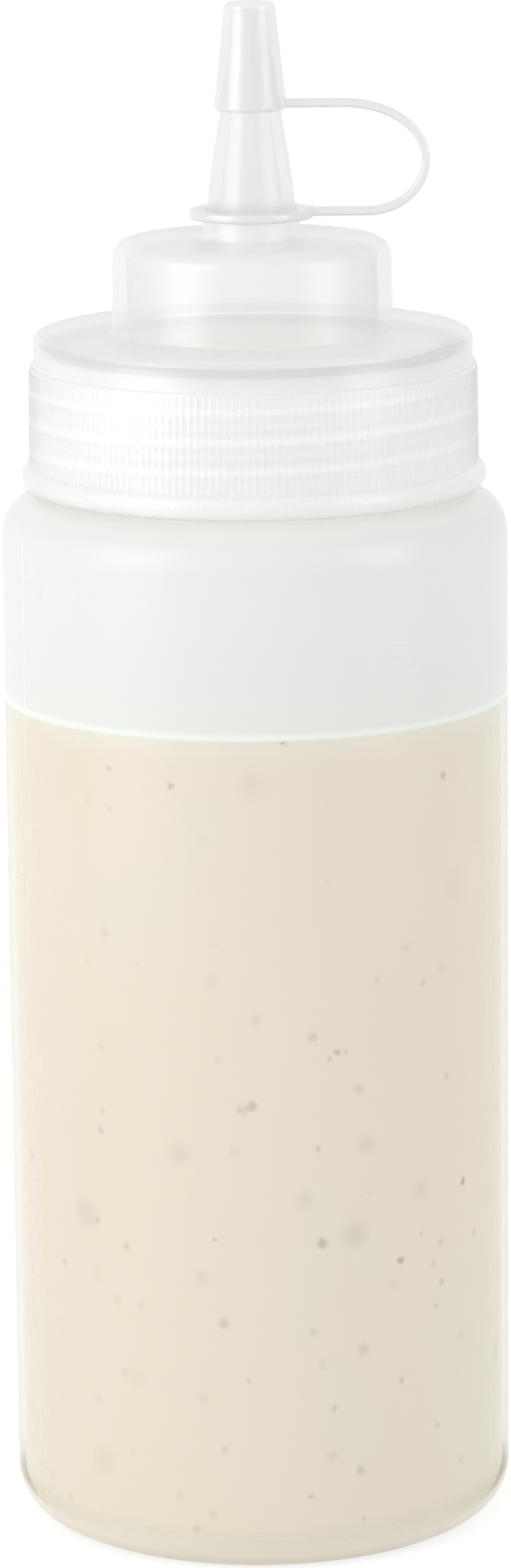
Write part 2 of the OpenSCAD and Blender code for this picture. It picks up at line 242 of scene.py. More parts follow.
class SauceStageSettings(bpy.types.PropertyGroup):
    """The camera and the lamps"""

    camera_place: bpy.props.FloatVectorProperty(
        name="Camera", description="Place of the camera", subtype="TRANSLATION", unit="LENGTH",
        default=(-0.0003, -1.0404, 0.3569))
    camera_pitch: bpy.props.FloatProperty(
        name="Camera pitch", description="How far the camera looks down", subtype="ANGLE",
        default=math.radians(12.17))
    camera_roll: bpy.props.FloatProperty(
        name="Camera roll", description="Turn of the camera about its own line of sight", subtype="ANGLE",
        default=math.radians(0.58))
    lens: bpy.props.FloatProperty(
        name="Lens", description="Focal length of the camera", subtype="DISTANCE_CAMERA",
        default=137.57)
    left_power: bpy.props.FloatProperty(
        name="Left lamp", description="Power of the large soft lamp on the left", subtype="POWER",
        default=4.7)
    right_power: bpy.props.FloatProperty(
        name="Right lamp", description="Power of the large soft lamp on the right", subtype="POWER",
        default=2.6)
    sky: bpy.props.FloatProperty(
        name="Surrounding light", description="Strength of the light from all around", default=0.70)


# Shader maths

class Value:
    """A number or colour at each point of a surface; sums on it add nodes to its finish"""

    def __init__(self, finish, socket):
        self.finish = finish
        self.socket = socket

    def math(self, operation, *others):
        values = dict(enumerate((self, *others)))
        return self.finish.node("ShaderNodeMath", {"operation": operation}, values)

    def __add__(self, other):
        return self.math("ADD", other)

    __radd__ = __add__

    def __sub__(self, other):
        return self.math("SUBTRACT", other)

    def __rsub__(self, other):
        return self * -1 + other

    def __mul__(self, other):
        return self.math("MULTIPLY", other)

    def __truediv__(self, other):
        return self.math("DIVIDE", other)

    def __pow__(self, other):
        return self.math("POWER", other)

    def __abs__(self):
        return self.math("ABSOLUTE")

    def limit(self):
        """The value kept between 0 and 1"""
        return self.finish.node("ShaderNodeClamp", {}, {0: self})

    def between(self, start, end):
        """0 where the value is at start, 1 where it is at end, and a smooth step in between"""
        return self.finish.node(
            "ShaderNodeMapRange", {"interpolation_type": "SMOOTHSTEP"},
            {"Value": self, "From Min": start, "From Max": end})


class Finish:
    """A procedural material under construction"""

    def __init__(self, name, **constants):
        self.material = bpy.data.materials.new(name)
        self.material.use_nodes = True
        self.tree = self.material.node_tree
        self.shader = self.tree.nodes["Principled BSDF"]
        for socket, value in constants.items():
            self.shader.inputs[socket.replace("_", " ")].default_value = value
        self.place = self.node("ShaderNodeTexCoord", {}, {}, "Object")
        self.x, self.y, self.z = (
            self.node("ShaderNodeSeparateXYZ", {}, {0: self.place}, axis) for axis in "XYZ")

    def node(self, kind, settings, inputs, output=0):
        """Adds one node: its settings first, then the values or links of its sockets"""
        made = self.tree.nodes.new(kind)
        for name, value in settings.items():
            setattr(made, name, value)
        for socket, value in inputs.items():
            if isinstance(value, Value):
                self.tree.links.new(value.socket, made.inputs[socket])
            else:
                made.inputs[socket].default_value = value
        return Value(self, made.outputs[output])

    def mix(self, amount, first, second):
        """A colour between two colours"""
        pair = [c if isinstance(c, Value) else (*c, 1.0) for c in (first, second)]
        return self.node(
            "ShaderNodeMix", {"data_type": "RGBA"},
            {0: amount, MIX_FIRST: pair[0], MIX_SECOND: pair[1]}, MIX_RESULT)

    def above(self, start, end):
        """0 below the height start and 1 above the height end, both in mm"""
        return self.z.between(start * MM, end * MM)

    def noise(self, scale, detail=2.0, stretch=(1, 1, 1)):
        """Soft noise on the piece's own coordinates, drawn out along an axis by a small stretch"""
        place = self.node("ShaderNodeMapping", {}, {"Vector": self.place, "Scale": stretch})
        return self.node("ShaderNodeTexNoise", {}, {"Vector": place, "Scale": scale, "Detail": detail})

    def feed(self, **inputs):
        """Links values to the surface shader's sockets"""
        for socket, value in inputs.items():
            self.tree.links.new(value.socket, self.shader.inputs[socket.replace("_", " ")])

    def bump(self, height, distance):
        """Raises the surface by a height field, in metres at height 1"""
        normal = self.node("ShaderNodeBump", {}, {"Height": height, "Distance": distance}, "Normal")
        self.feed(Normal=normal)

    def facing(self):
        """0 where a surface is seen square on, 1 at its outline"""
        return self.node("ShaderNodeLayerWeight", {}, {"Blend": 0.5}, "Facing")

    def rays(self, *kinds):
        """1 for rays of any of these kinds, 0 for all others"""
        first, *others = (self.node("ShaderNodeLightPath", {}, {}, f"Is {kind} Ray") for kind in kinds)
        for other in others:
            first = first.math("MAXIMUM", other)
        return first

    def add_shader(self, kind, share):
        """Mixes a second shader into the surface, by a share from 0 to 1, and returns its node"""
        second = self.tree.nodes.new(kind)
        blend = self.tree.nodes.new("ShaderNodeMixShader")
        self.tree.links.new(share.socket, blend.inputs[0])
        self.tree.links.new(self.shader.outputs[0], blend.inputs[1])
        self.tree.links.new(second.outputs[0], blend.inputs[2])
        self.tree.links.new(blend.outputs[0], self.tree.nodes["Material Output"].inputs["Surface"])
        return second

    def scatter(self, share):
        """Lets a share of the light from lamps and other surfaces through, as milky plastic does"""
        self.add_shader("ShaderNodeBsdfTransparent", self.rays("Shadow", "Diffuse") * share)


# Modelling helpers

def fresh():
    """Leaves edit mode and deselects everything"""
    if bpy.context.object and bpy.context.object.mode != "OBJECT":
        bpy.ops.object.mode_set(mode="OBJECT")
    bpy.ops.object.select_all(action="DESELECT")


def choose(piece, test, edges=False):
    """In edit mode, selects the faces or edges whose middle and normal or run pass a test"""
    bpy.ops.mesh.select_mode(type="EDGE" if edges else "FACE")
    bpy.ops.mesh.select_all(action="DESELECT")
    mesh = bmesh.from_edit_mesh(piece.data)
    chosen = 0
    for part in mesh.edges if edges else mesh.faces:
        if edges:
            ends = [v.co for v in part.verts]
            passed = test((ends[0] + ends[1]) / (2 * MM), (ends[1] - ends[0]) / MM)
        else:
            passed = test(part.calc_center_median() / MM, part.normal)
        if passed:
            part.select_set(True)
            chosen += 1
    mesh.select_flush_mode()
    bmesh.update_edit_mesh(piece.data)
    if not chosen:
        raise RuntimeError(f"nothing of {piece.name} was selected")


def rounded(corners, closed=False, steps=5):
    """Points of an outline whose corners, given as radius, height and rounding, become arcs"""
    count = len(corners)
    points = []
    for i, (x, z, radius) in enumerate(corners):
        here = Vector((x, z))
        if radius <= 0 or (not closed and i in (0, count - 1)):
            points.append(here)
            continue
        a = Vector(corners[i - 1][:2]) - here
        b = Vector(corners[(i + 1) % count][:2]) - here
        angle = a.angle(b)
        limit = ROUNDING_SHARE * min(a.length, b.length)
        reach = min(radius / math.tan(angle / 2), limit)
        radius = reach * math.tan(angle / 2)
        middle = (a.normalized() + b.normalized()).normalized()
        centre = here + middle * (radius / math.sin(angle / 2))
        start = here + a.normalized() * reach - centre
        turn = start.angle_signed(here + b.normalized() * reach - centre)
        sweep = max(2, round(steps * abs(turn) / (math.pi / 2)))
        for k in range(sweep + 1):
            spin = -turn * k / sweep
            points.append(centre + Vector((
                start.x * math.cos(spin) - start.y * math.sin(spin),
                start.x * math.sin(spin) + start.y * math.cos(spin))))
    return points


def turned(name, outline, steps, closed):
    """Draws an outline, radius and height in mm, by extruding a point, and spins it about the axis"""
    fresh()
    bpy.ops.mesh.primitive_plane_add(size=MM)
    piece = bpy.context.object
    piece.name = name
    bpy.ops.object.mode_set(mode="EDIT")
    bpy.ops.mesh.select_mode(type="VERT")
    bpy.ops.mesh.select_all(action="SELECT")
    bpy.ops.mesh.merge(type="CENTER")
    bpy.ops.transform.translate(value=(outline[0][0] * MM, 0, outline[0][1] * MM))
    for here, there in zip(outline, list(outline[1:]) + [outline[0]] * closed):
        step = ((there[0] - here[0]) * MM, 0, (there[1] - here[1]) * MM)
        bpy.ops.mesh.extrude_region_move(TRANSFORM_OT_translate={"value": step})
    bpy.ops.mesh.select_all(action="SELECT")
    bpy.ops.mesh.remove_doubles(threshold=WELD)
    bpy.ops.mesh.select_all(action="SELECT")
    bpy.ops.mesh.spin(steps=steps, angle=math.tau, center=ORIGIN, axis=UP)
    bpy.ops.mesh.select_all(action="SELECT")
    bpy.ops.mesh.remove_doubles(threshold=WELD)
    bpy.ops.mesh.normals_make_consistent(inside=False)
    bpy.ops.object.mode_set(mode="OBJECT")
    return piece


def wound(name, radius, depth, start, pitch, turns):
    """A thread's ridge, wound up the axis from the +X side; a negative depth winds it in a bore"""
    root = radius - math.copysign(THREAD_ROOT, depth)
    crest = radius + depth
    fresh()
    bpy.ops.mesh.primitive_plane_add(size=1, rotation=(math.pi / 2, 0, 0))
    ridge = bpy.context.object
    ridge.name = name
    bpy.ops.object.transform_apply(location=True, rotation=True, scale=True)
    section = (
        (root, -THREAD_FOOT), (crest, -THREAD_CREST), (crest, THREAD_CREST), (root, THREAD_FOOT))
    corners = sorted(ridge.data.vertices, key=lambda v: math.atan2(v.co.z, v.co.x))
    ordered = sorted(section, key=lambda p: math.atan2(p[1], p[0] - radius - depth / 2))
    for vertex, (r, z) in zip(corners, ordered):
        vertex.co = (r * MM, 0, (start + z) * MM)
    bpy.ops.object.modifier_add(type="SCREW")
    screw = ridge.modifiers[-1]
    screw.angle = math.tau * turns
    screw.screw_offset = pitch * turns * MM
    screw.steps = screw.render_steps = round(THREAD_STEPS * turns)
    bpy.ops.object.modifier_apply(modifier=screw.name)
    for vertex in ridge.data.vertices:
        r = math.hypot(vertex.co.x, vertex.co.y)
        angle = math.atan2(vertex.co.y, vertex.co.x)
        height = vertex.co.z / MM - start
        turn = round(height / pitch - angle / math.tau) + angle / math.tau
        fade = min(1.0, max(THREAD_END, min(turn, turns - turn) * THREAD_GAIN))
        new = root * MM + (r - root * MM) * fade
        vertex.co.x *= new / r
        vertex.co.y *= new / r
    bpy.ops.object.mode_set(mode="EDIT")
    bpy.ops.mesh.select_mode(type="EDGE")
    bpy.ops.mesh.select_all(action="DESELECT")
    bpy.ops.mesh.select_non_manifold(extend=False)
    bpy.ops.mesh.edge_face_add()
    bpy.ops.mesh.select_all(action="SELECT")
    bpy.ops.mesh.normals_make_consistent(inside=False)
    bpy.ops.object.mode_set(mode="OBJECT")
    return ridge


def thread_starts(sizes):
    """Heights in mm at which the neck's thread and the cap's start, on the +X side"""
    neck = sizes.rim / MM - THREAD_BELOW_RIM - NECK_TURNS * sizes.pitch / MM
    return neck, neck - CAP_THREAD_BELOW


def joined(main, *others):
    """One piece from several"""
    fresh()
    for other in others:
        other.select_set(True)
    main.select_set(True)
    bpy.context.view_layer.objects.active = main
    bpy.ops.object.join()
    return main


def smooth(piece, degrees):
    """Shades a piece smooth, with a crease where its faces turn by more than an angle"""
    fresh()
    piece.select_set(True)
    bpy.context.view_layer.objects.active = piece
    bpy.ops.object.transform_apply(location=True, rotation=True, scale=True)
    bpy.ops.object.shade_smooth_by_angle(angle=math.radians(degrees))


def settle(piece, body, finish, slot, *nodes):
    """Gives a piece its material and its place in the frame"""
    piece.data.materials.clear()
    piece.data.materials.append(finish)
    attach(piece, body)
    if nodes:
        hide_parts(*nodes)


# Finishes

def bottle_plastic():
    """Milky plastic with a parting line; the sauce's colour comes through where it wets the wall"""
    sizes, colours = bpy.context.scene.sauce_bottle, bpy.context.scene.sauce_colours
    finish = Finish(
        "milky_bottle_plastic", Roughness=0.3, IOR=1.5, Coat_Weight=0.12, Coat_Roughness=0.25)
    level, top = sizes.sauce_level / MM, sizes.shoulder / MM
    dry = finish.above(level - 0.4, level + 0.4)
    line = dry * (1 - finish.above(level + 0.6, level + 1.5))
    foot = 1 - finish.above(3.5, 9)
    shoulder = finish.above(top - 4, top)
    near_sauce = 1 - finish.above(level + 2, level + 22)
    cloud = finish.noise(22, 3)
    off_seam = abs(finish.y * math.cos(SEAM_ANGLE) - finish.x * math.sin(SEAM_ANGLE))
    seam = 1 - off_seam.between(0.15 * MM, 0.5 * MM)
    colour = finish.mix(cloud, colours.bottle, [c * 0.97 for c in colours.bottle])
    colour = finish.mix(near_sauce * 0.5, colour, AIR_TINT)
    # Painted light: the shoulder is made paler and yellower, standing in for the light that falls on its
    # top
    colour = finish.mix(shoulder * 0.7, colour, SHOULDER_PAINTED_LIGHT)
    # Over the sauce the wall takes the sauce's colour; at the foot that cream is made paler, painted
    # light against the shade under the base
    colour = finish.mix(dry, finish.mix(foot, WET_TINT, FOOT_TINT_WITH_PAINTED_LIGHT), colour)
    colour = finish.mix(line * 0.85, colour, EDGE_TINT)
    finish.feed(Base_Color=finish.mix(seam * 0.5, colour, SEAM_TINT))
    veil = dry * 0.62 + 0.08 + seam * 0.1 + line * 0.2 + (1 - dry) * foot * 0.9
    edge = finish.facing()
    rim = edge ** 5 * (1 - dry) * 0.95 + edge ** 3 * dry * 0.35
    finish.feed(Alpha=(veil + rim).limit())
    ripple = finish.noise(420, 2) * 0.5 + finish.noise(30, 1, (1, 1, 0.3)) + seam * 3
    finish.bump(ripple, 0.02 * MM)
    finish.feed(Roughness=finish.noise(60, 2) * 0.12 + 0.24)
    finish.scatter(0.8)
    return finish.material


def cap_plastic(name, veil, gloss, tone, outline):
    """Milky moulded plastic with a least alpha, a roughness, a tone and more alpha at its outline"""
    colours = bpy.context.scene.sauce_colours
    finish = Finish(name, Roughness=gloss, IOR=2.1, Coat_Weight=0.2, Coat_Roughness=0.14)
    cloud = finish.noise(35, 3)
    colour = [c * tone for c in colours.cap]
    finish.feed(Base_Color=finish.mix(cloud, colour, [c * 0.96 for c in colour]))
    finish.feed(Alpha=(cloud * 0.06 + veil + finish.facing() ** 3 * outline).limit())
    finish.feed(Roughness=finish.noise(90, 2) * 0.1 + (gloss - 0.05))
    finish.bump(finish.noise(500, 2), 0.012 * MM)
    finish.scatter(0.85)
    return finish.material


def screw_cap_plastic():
    """Milky plastic, clearer in the nozzle, paler along the thread with a painted highlight, and with
    painted shade on the inner walls and in the nozzle
    """
    sizes, colours = bpy.context.scene.sauce_bottle, bpy.context.scene.sauce_colours
    finish = Finish(
        "clear_cap_plastic", Roughness=0.34, IOR=2.0, Coat_Weight=0.25, Coat_Roughness=0.12)
    cloud = finish.noise(35, 3)
    radius = (finish.x * finish.x + finish.y * finish.y) ** 0.5
    nozzle = finish.above(232.6, 233.6)
    turret = finish.above(211.6, 212.6) * (1 - finish.above(226.6, 227.6))
    inner = turret * (1 - radius.between(22.3 * MM, 23.6 * MM))
    turn = finish.y.math("ARCTAN2", finish.x) / math.tau
    start = thread_starts(sizes)[1]
    phase = (finish.z - start * MM) / sizes.pitch - turn
    collar = finish.above(189, 191) * (1 - finish.above(205, 206.5))
    thread = abs(phase.math("FRACT") - 0.5).between(0.32, 0.47) * collar
    flange = finish.above(208.1, 208.8) * radius.between(37.9 * MM, 38.3 * MM)
    colour = finish.mix(cloud, colours.cap, [c * 0.97 for c in colours.cap])
    # Paler along the thread: the thicker, milkier plastic there, with a painted highlight where the
    # ridges catch the light
    colour = finish.mix(thread * 0.45, colour, THREAD_MILK_AND_HIGHLIGHT)
    # Painted shade: the turret's inner walls are darkened to give the dark lines along its edges
    colour = finish.mix(inner * 0.8, colour, INNER_WALL_SHADE)
    # Painted shade: the nozzle is made greyer for the darker look of its clear walls and edges
    finish.feed(Base_Color=finish.mix(nozzle * 0.9, colour, NOZZLE_SHADE_TINT))
    veil = cloud * 0.06 + 0.46 + thread * 0.1 - inner * 0.36 - nozzle * 0.12 - flange * 0.14
    outline = finish.facing() ** 3 * (0.4 + nozzle * 0.1 + inner * 0.4)
    finish.feed(Alpha=(veil + outline).limit())
    finish.feed(Roughness=finish.noise(90, 2) * 0.1 + 0.29 - nozzle * 0.1)
    finish.bump(finish.noise(500, 2), 0.012 * MM)
    finish.scatter(0.85)
    return finish.material


def seal_and_gap_shade():
    """Soft sealing ring with a fine grain; its dark grey is partly painted shade for the gap under the
    cap
    """
    colours = bpy.context.scene.sauce_colours
    finish = Finish("seal_and_gap_shade", Roughness=0.6)
    grain = finish.noise(900, 3)
    # Partly painted shade: the ring's dark grey stands in for the shadow in the gap under the flange
    finish.feed(Base_Color=finish.mix(grain, colours.seal, [c * 0.8 for c in colours.seal]))
    finish.bump(grain, 0.03 * MM)
    return finish.material


def creamy_sauce():
    """Cream sauce with soft swirls, flecks on the wall and paler, blurred ones deeper in it"""
    sizes, colours = bpy.context.scene.sauce_bottle, bpy.context.scene.sauce_colours
    finish = Finish("creamy_sauce", Roughness=0.42, IOR=1.35, Coat_Weight=1.0, Coat_Roughness=0.36)
    finish.shader.inputs["Coat IOR"].default_value = 1.7
    level = sizes.sauce_level / MM
    swirl = finish.noise(9, 3, (1, 1, 0.45)).between(0.3, 0.7)
    patch = finish.noise(26, 2, (1, 1, 0.6)).between(0.52, 0.7)
    fine = finish.noise(70, 2)
    colour = finish.mix(swirl * 0.5 + fine * 0.15, colours.sauce, colours.sauce_light)
    colour = finish.mix(patch * 0.35, colour, PATCH_TINT)
    colour = finish.mix(finish.above(level - 5, level - 0.5) * 0.6, colour, TOP_TINT)
    ragged = finish.node(
        "ShaderNodeTexNoise", {}, {"Vector": finish.place, "Scale": 1100.0, "Detail": 2.0}, "Color")
    frayed = finish.node(
        "ShaderNodeVectorMath", {"operation": "MULTIPLY_ADD"},
        {0: ragged, 1: (FRAY,) * 3, 2: finish.place})
    dark = 0
    for degrees, height, size, depth in FLECKS:
        angle = math.radians(degrees)
        place = (FLECK_RADIUS * math.sin(angle), -FLECK_RADIUS * math.cos(angle), height * MM)
        away = finish.node(
            "ShaderNodeVectorMath", {"operation": "DISTANCE"},
            {0: frayed, 1: [c + FRAY / 2 for c in place]}, "Value")
        dark = away.between(size * 1.3 * MM, size * 0.4 * depth * MM) * depth + dark
    lower = 1 - finish.above(70, 110)
    for scale, reach, empty, depth in FLECK_LAYERS:
        distance, shade = (
            finish.node("ShaderNodeTexVoronoi", {}, {"Vector": frayed, "Scale": scale}, output)
            for output in ("Distance", "Color"))
        filled = finish.node("ShaderNodeSeparateColor", {}, {0: shade}, 0).between(empty, empty + 0.05)
        spots = distance.between(reach, reach * 0.3)
        dark = spots * filled * (lower * 0.7 + 0.3) * depth + dark
    finish.feed(Base_Color=finish.mix(dark.limit() * 0.8, colour, colours.fleck))
    finish.feed(Roughness=fine * 0.15 + 0.35)
    finish.bump(finish.noise(60, 3) + dark.limit() * 0.3, 0.12 * MM)
    return finish.material


# Pieces

class SAUCE_OT_bottle(bpy.types.Operator):
    """Add the soft bottle with its rounded shoulder, pushed-up base and threaded neck"""

    bl_idname = "sauce_bottle.bottle"
    bl_label = "Bottle"
    bl_options = {"REGISTER", "UNDO"}

    def execute(self, context):
        s = context.scene.sauce_bottle
        r, top, edge, wall = s.radius / MM, s.shoulder / MM, s.rounding / MM, s.wall / MM
        neck, bore, rim = s.neck_radius / MM, s.neck_bore / MM, s.rim / MM
        corners = [
            (0, PUSH_UP, 0), (PUSH_UP_RADIUS, PUSH_UP, 1.2), (FOOT_RADIUS, 0, 1.2), (r, 0, edge),
            (r, top, edge), (neck, top, 0.8), (neck, rim, 0.5), (bore, rim, 0.5),
            (bore, top - wall, 0.5), (r - wall, top - wall, edge - wall),
            (r - wall, wall, edge - wall), (INNER_FOOT_RADIUS, wall, 0.6),
            (INNER_PUSH_UP_RADIUS, PUSH_UP + wall, 0.8), (0, PUSH_UP + wall, 0)]
        body = turned("bottle", rounded(corners, steps=8), 144, False)
        start, pitch = thread_starts(s)[0], s.pitch / MM
        ridge = wound("neck_thread", neck, THREAD_DEPTH, start, pitch, NECK_TURNS)
        joined(body, ridge)
        smooth(body, 38)
        settle(body, "bottle", bottle_plastic(), "soft_bottle", "bottle_body")
        return {"FINISHED"}


class SAUCE_OT_sauce(bpy.types.Operator):
    """Add the sauce, which fills the bottle to its level and climbs a little up the wall"""

    bl_idname = "sauce_bottle.sauce"
    bl_label = "Sauce"
    bl_options = {"REGISTER", "UNDO"}

    def execute(self, context):
        s = context.scene.sauce_bottle
        wall = s.wall / MM + SAUCE_GAP
        r, edge, level = s.radius / MM - wall, s.rounding / MM - wall, s.sauce_level / MM
        corners = [
            (0, PUSH_UP + wall, 0), (INNER_PUSH_UP_RADIUS, PUSH_UP + wall, 0.8),
            (INNER_FOOT_RADIUS, wall, 0.6), (r, wall, edge), (r, level, 0.12),
            (r - 0.5, level - 0.15, 0.3), (r - 2.4, level - 1.1, 2.5), (0, level - 1.2, 0)]
        sauce = turned("sauce_fill", rounded(corners, steps=8), 144, False)
        smooth(sauce, 50)
        settle(sauce, "bottle", creamy_sauce(), "sauce", "sauce")
        return {"FINISHED"}


class SAUCE_OT_seal(bpy.types.Operator):
    """Add the sealing ring on the neck's rim"""

    bl_idname = "sauce_bottle.seal"
    bl_label = "Sealing ring"
    bl_options = {"REGISTER", "UNDO"}

    def execute(self, context):
        ring = turned("sealing_ring", rounded(SEAL_CORNERS, True, 3), 128, True)
        smooth(ring, 50)
        settle(ring, "cap_lift_carrier", seal_and_gap_shade(), "seal", "cap_seal")
        return {"FINISHED"}


class SAUCE_OT_screw_cap(bpy.types.Operator):
    """Add the screw cap: collar with ribs and thread, flange, turret and nozzle in one moulding"""

    bl_idname = "sauce_bottle.screw_cap"
    bl_label = "Screw cap"
    bl_options = {"REGISTER", "UNDO"}

    def execute(self, context):
        s, bottle = context.scene.sauce_cap, context.scene.sauce_bottle
        bead = []
        for degrees in BEAD_ANGLES:
            angle = math.radians(degrees)
            bead.append((BEAD_X + BEAD_RADIUS * math.cos(angle), BEAD_Z + BEAD_RADIUS * math.sin(angle)))
        outside = [tuple(p) for p in rounded(CAP_OUTSIDE)]
        inside = [tuple(p) for p in rounded(CAP_INSIDE)]
        cap = turned("screw_cap_moulding", outside + bead + inside[1:-1], s.ribs, True)
        self.cut_ribs(cap, s.ribs, s.rib_depth)
        start, pitch = thread_starts(bottle)[1], bottle.pitch / MM
        ridge = wound("cap_thread", COLLAR_BORE, -THREAD_DEPTH, start, pitch, CAP_TURNS)
        joined(cap, ridge)
        smooth(cap, 40)
        settle(cap, "nozzle_cap", screw_cap_plastic(), "cap_plastic", "screw_cap", "nozzle")
        return {"FINISHED"}

    def cut_ribs(self, cap, ribs, depth):
        """Doubles the columns of the collar's outer faces and raises every second one"""
        fresh()
        bpy.context.view_layer.objects.active = cap
        bpy.ops.object.mode_set(mode="EDIT")

        def in_band(middle, run):
            radius = math.hypot(middle.x, middle.y)
            level = abs(run.z) < 0.01
            return level and RIBS_FOOT < middle.z < RIBS_TOP and radius > RIBS_RADIUS

        def ribs_between(low, high):
            def on_rib(middle, normal):
                radius = math.hypot(middle.x, middle.y)
                column = math.floor(math.atan2(middle.y, middle.x) / math.tau * 2 * ribs)
                outer = radius > RIBS_RADIUS and normal.z < LEVEL_FACE
                return outer and low < middle.z < high and column % 2 == 0

            return on_rib

        choose(cap, in_band, edges=True)
        bpy.ops.mesh.subdivide(number_cuts=1)
        bands = ((BEAD_TOP, RIBS_TOP, depth), (RIBS_FOOT, BEAD_TOP, depth * BEAD_RIB_SHARE))
        for low, high, height in bands:
            choose(cap, ribs_between(low, high))
            bpy.ops.mesh.inset(
                thickness=RIB_INSET * MM, depth=height, use_boundary=True, use_even_offset=True)
        bpy.ops.object.mode_set(mode="OBJECT")


def bend_points():
    """The strap's root, the end of its straight run and the end of each arc, on its middle line, in mm"""
    points = [Vector((STRAP_ROOT, 0, STRAP_Z)), Vector((STRAP_ROOT + STRAP_RUN, 0, STRAP_Z))]
    for i, length in enumerate(STRAP_ARCS):
        heading = ARC_TURN * (i + 0.5)
        chord = length * math.sin(ARC_TURN / 2) / (ARC_TURN / 2)
        points.append(points[-1] + Vector((math.cos(heading), 0, math.sin(heading))) * chord)
    return points


def arc_centre(points, i):
    """Centre of the strap's arc i, in mm"""
    radius, start = STRAP_ARCS[i] / ARC_TURN, ARC_TURN * i
    return points[i + 1] + Vector((-math.sin(start), 0, math.cos(start))) * radius


class SAUCE_OT_tether(bpy.types.Operator):
    """Add the ring round the nozzle's foot and the strap, in two bands that bend smoothly"""

    bl_idname = "sauce_bottle.tether"
    bl_label = "Tether ring and strap"
    bl_options = {"REGISTER", "UNDO"}

    def execute(self, context):
        s = context.scene.sauce_cap
        finish = cap_plastic("tether_plastic", 0.78, 0.26, 0.9, 0.2)
        ring = turned("tether_loop", rounded(LOOP_CORNERS, True, 4), 96, True)
        fresh()
        bpy.ops.mesh.primitive_cube_add(
            size=1, location=[c * MM for c in TAB_PLACE], scale=[c * MM for c in TAB_SIZE])
        tab = context.object
        bpy.ops.object.transform_apply(location=True, rotation=True, scale=True)
        bpy.ops.object.modifier_add(type="BEVEL")
        tab.modifiers[-1].width = TAB_EDGE * MM
        tab.modifiers[-1].segments = 3
        bpy.ops.object.modifier_apply(modifier=tab.modifiers[-1].name)
        joined(ring, tab)
        smooth(ring, 40)
        settle(ring, "tether", finish, "tether_plastic", "tether_ring")
        points = bend_points()
        lower = self.band(s, "strap_lower_band", Vector((STRAP_START, 0, STRAP_Z)), 0)
        self.pull((points[1].x - STRAP_START, 0, 0), RUN_STEPS)
        for i in range(LOWER_ARCS):
            self.swing(arc_centre(points, i))
        self.close(lower, finish)
        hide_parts("strap_lower")
        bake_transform(lower)
        upper = self.band(s, "strap_upper_band", points[LOWER_ARCS + 1], ARC_TURN * LOWER_ARCS)
        for i in range(LOWER_ARCS, len(STRAP_ARCS)):
            self.swing(arc_centre(points, i))
        self.pull((STRAP_END - points[-1].x, 0, 0), END_STEPS)
        self.close(upper, finish)
        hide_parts("strap_upper")
        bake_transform(upper)
        return {"FINISHED"}

    def band(self, s, name, start, heading):
        """The strap's cross-section with rounded edges, set across its path and ready to be drawn out"""
        fresh()
        bpy.ops.mesh.primitive_plane_add(
            size=1, location=start * MM, rotation=(0, math.pi / 2 - heading, 0))
        piece = bpy.context.object
        piece.name = name
        piece.scale = (s.strap_thickness, s.strap_width, 1)
        bpy.ops.object.transform_apply(location=True, rotation=True, scale=True)
        bpy.ops.object.mode_set(mode="EDIT")
        bpy.ops.mesh.select_mode(type="VERT")
        bpy.ops.mesh.select_all(action="SELECT")
        bpy.ops.mesh.bevel(offset=s.strap_edge, segments=3, affect="VERTICES")
        bpy.ops.mesh.select_mode(type="FACE")
        bpy.ops.mesh.select_all(action="SELECT")
        return piece

    def pull(self, run, steps):
        """Extrudes the strap's end straight on, in short steps"""
        for _ in range(steps):
            bpy.ops.mesh.extrude_region_move(
                TRANSFORM_OT_translate={"value": tuple(c * MM / steps for c in run)})

    def swing(self, centre):
        """Carries the strap's end round one arc"""
        bpy.ops.mesh.spin(steps=ARC_STEPS, angle=ARC_TURN, center=centre * MM, axis=(0, 1, 0))

    def close(self, piece, finish):
        """Merges what the drawing out left double and gives the band its material"""
        bpy.ops.mesh.select_all(action="SELECT")
        bpy.ops.mesh.remove_doubles(threshold=WELD)
        bpy.ops.mesh.normals_make_consistent(inside=False)
        bpy.ops.object.mode_set(mode="OBJECT")
        smooth(piece, 50)
        piece.data.materials.append(finish)


class SAUCE_OT_tip_cap(bpy.types.Operator):
    """Add the tip cap with its sealing beads and the plug inside"""

    bl_idname = "sauce_bottle.tip_cap"
    bl_label = "Tip cap"
    bl_options = {"REGISTER", "UNDO"}

    def execute(self, context):
        finish = cap_plastic("tip_plastic", 0.42, 0.22, 0.9, 0.4)
        tip = turned("tip_cap_moulding", rounded(TIP_CAP_CORNERS, steps=6), 96, False)
        smooth(tip, 40)
        settle(tip, "tip", finish, "tip_plastic", "tip_cap")
        return {"FINISHED"}


# The stage

